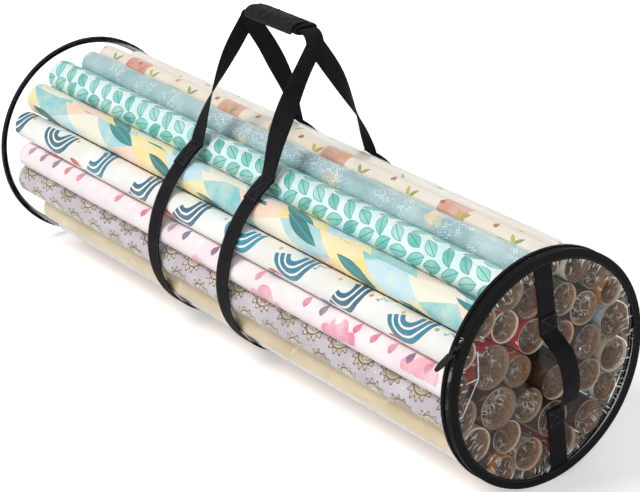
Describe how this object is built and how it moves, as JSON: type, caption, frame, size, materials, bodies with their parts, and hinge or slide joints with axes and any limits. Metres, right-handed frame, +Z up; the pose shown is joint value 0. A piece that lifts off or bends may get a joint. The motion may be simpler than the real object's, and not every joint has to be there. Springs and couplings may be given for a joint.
{
  "type": "gift wrap organizer",
  "caption": "Clear round bag filled with rolls of wrapping paper, with a zipped end cap, black bindings, a webbing carry handle with a wrapped grip and a handle on the cap.",
  "frame": {"origin": "middle of the bounding box at floor level, with the bag lying on its rims", "axes": "+X along the bag from the sewn end to the zipped cap, +Z up, +Y to the back, away from the zipper slider"},
  "size_m": [1.048, 0.3126, 0.4533],
  "materials": {
    "back_handle_finish": "matt black webbing",
    "body_rim_binding_finish": "black woven binding tape",
    "body_sheet_finish": "clear flexible PVC sheet",
    "body_zipper_tape_finish": "black woven binding tape",
    "body_zipper_teeth_finish": "black moulded zipper teeth",
    "cap_binding_finish": "black woven binding tape",
    "cap_handle_finish": "matt black webbing",
    "cap_hinge_strip_finish": "black woven binding tape",
    "cap_panel_finish": "clear flexible PVC sheet",
    "cap_strap_lower_finish": "matt black webbing",
    "cap_strap_upper_finish": "matt black webbing",
    "cap_zipper_tape_finish": "black woven binding tape",
    "cap_zipper_teeth_finish": "black moulded zipper teeth",
    "far_binding_finish": "black woven binding tape",
    "far_panel_finish": "clear flexible PVC sheet",
    "front_handle_finish": "matt black webbing",
    "grip_flap_finish": "black padded fabric",
    "grip_hook_strip_finish": "black padded fabric",
    "grip_loop_strip_finish": "black padded fabric",
    "grip_wrap_finish": "black padded fabric",
    "left_belt_finish": "matt black webbing",
    "right_belt_finish": "matt black webbing",
    "roll_01_finish": "printed wrapping paper, satin",
    "roll_02_finish": "printed wrapping paper, satin",
    "roll_03_finish": "printed wrapping paper, satin",
    "roll_04_finish": "printed wrapping paper, satin",
    "roll_05_finish": "printed wrapping paper, satin",
    "roll_06_finish": "printed wrapping paper, satin",
    "roll_07_finish": "printed wrapping paper, satin",
    "roll_08_finish": "printed wrapping paper, satin",
    "roll_09_finish": "printed wrapping paper, satin",
    "roll_10_finish": "printed wrapping paper, satin",
    "roll_11_finish": "printed wrapping paper, satin",
    "roll_12_finish": "printed wrapping paper, satin",
    "roll_13_finish": "printed wrapping paper, satin",
    "roll_14_finish": "printed wrapping paper, satin",
    "roll_15_finish": "printed wrapping paper, satin",
    "roll_16_finish": "printed wrapping paper, satin",
    "roll_17_finish": "printed wrapping paper, satin",
    "roll_18_finish": "printed wrapping paper, satin",
    "roll_19_finish": "printed wrapping paper, satin",
    "roll_20_finish": "printed wrapping paper, satin",
    "roll_21_finish": "printed wrapping paper, satin",
    "roll_22_finish": "printed wrapping paper, satin",
    "roll_23_finish": "printed wrapping paper, satin",
    "roll_24_finish": "printed wrapping paper, satin",
    "roll_25_finish": "printed wrapping paper, satin",
    "roll_26_finish": "printed wrapping paper, satin",
    "roll_27_finish": "printed wrapping paper, satin",
    "roll_28_finish": "printed wrapping paper, satin",
    "roll_29_finish": "printed wrapping paper, satin",
    "roll_30_finish": "printed wrapping paper, satin",
    "roll_31_finish": "printed wrapping paper, satin",
    "roll_32_finish": "printed wrapping paper, satin",
    "roll_33_finish": "printed wrapping paper, satin",
    "roll_34_finish": "printed wrapping paper, satin",
    "zipper_first_stop_finish": "black painted zinc",
    "zipper_last_stop_finish": "black painted zinc",
    "zipper_pull_finish": "black painted zinc",
    "zipper_slider_finish": "black painted zinc"
  },
  "bodies": {
    "bag": {"back_handle": "back_handle_finish", "body_rim_binding": "body_rim_binding_finish", "body_sheet": "body_sheet_finish", "body_zipper_tape": "body_zipper_tape_finish", "body_zipper_teeth": "body_zipper_teeth_finish", "cap_hinge_strip": "cap_hinge_strip_finish", "far_binding": "far_binding_finish", "far_panel": "far_panel_finish", "front_handle": "front_handle_finish", "left_belt": "left_belt_finish", "right_belt": "right_belt_finish", "roll_01": "roll_01_finish", "roll_02": "roll_02_finish", "roll_03": "roll_03_finish", "roll_04": "roll_04_finish", "roll_05": "roll_05_finish", "roll_06": "roll_06_finish", "roll_07": "roll_07_finish", "roll_08": "roll_08_finish", "roll_09": "roll_09_finish", "roll_10": "roll_10_finish", "roll_11": "roll_11_finish", "roll_12": "roll_12_finish", "roll_13": "roll_13_finish", "roll_14": "roll_14_finish", "roll_15": "roll_15_finish", "roll_16": "roll_16_finish", "roll_17": "roll_17_finish", "roll_18": "roll_18_finish", "roll_19": "roll_19_finish", "roll_20": "roll_20_finish", "roll_21": "roll_21_finish", "roll_22": "roll_22_finish", "roll_23": "roll_23_finish", "roll_24": "roll_24_finish", "roll_25": "roll_25_finish", "roll_26": "roll_26_finish", "roll_27": "roll_27_finish", "roll_28": "roll_28_finish", "roll_29": "roll_29_finish", "roll_30": "roll_30_finish", "roll_31": "roll_31_finish", "roll_32": "roll_32_finish", "roll_33": "roll_33_finish", "roll_34": "roll_34_finish", "zipper_first_stop": "zipper_first_stop_finish", "zipper_last_stop": "zipper_last_stop_finish"},
    "cap": {"cap_binding": "cap_binding_finish", "cap_panel": "cap_panel_finish", "cap_zipper_tape": "cap_zipper_tape_finish", "cap_zipper_teeth": "cap_zipper_teeth_finish", "cap_strap_upper": "cap_strap_upper_finish", "cap_strap_lower": "cap_strap_lower_finish", "cap_handle": "cap_handle_finish"},
    "slider": {"zipper_slider": "zipper_slider_finish"},
    "pull": {"zipper_pull": "zipper_pull_finish"},
    "grip": {"grip_wrap": "grip_wrap_finish", "grip_loop_strip": "grip_loop_strip_finish"},
    "flap": {"grip_flap": "grip_flap_finish", "grip_hook_strip": "grip_hook_strip_finish"}
  },
  "joints": [
    {"name": "cap_hinge", "type": "hinge", "parent": "bag", "child": "cap", "pos_m": [0.4853, -0.0784, 0.26742], "axis": [0, -0.809, -0.5878], "range_deg": [0, 110]},
    {"name": "slider_run", "type": "hinge", "parent": "bag", "child": "slider", "pos_m": [0.483, 0.00859, 0.14768], "axis": [1, 0, 0], "range_deg": [0, 297]},
    {"name": "pull_swing", "type": "hinge", "parent": "slider", "child": "pull", "pos_m": [0.483, -0.13068, 0.2068], "axis": [-1, 0, 0], "range_deg": [-40, 95]},
    {"name": "handle_drop", "type": "slide", "parent": "bag", "child": "grip", "axis": [0, 0, -1], "range_m": [0, 0.11], "deforming": ["front_handle", "back_handle"]},
    {"name": "flap_open", "type": "hinge", "parent": "grip", "child": "flap", "pos_m": [-0.032, 0.01328, 0.4511], "axis": [-1, 0, 0], "range_deg": [0, 100]}
  ]
}
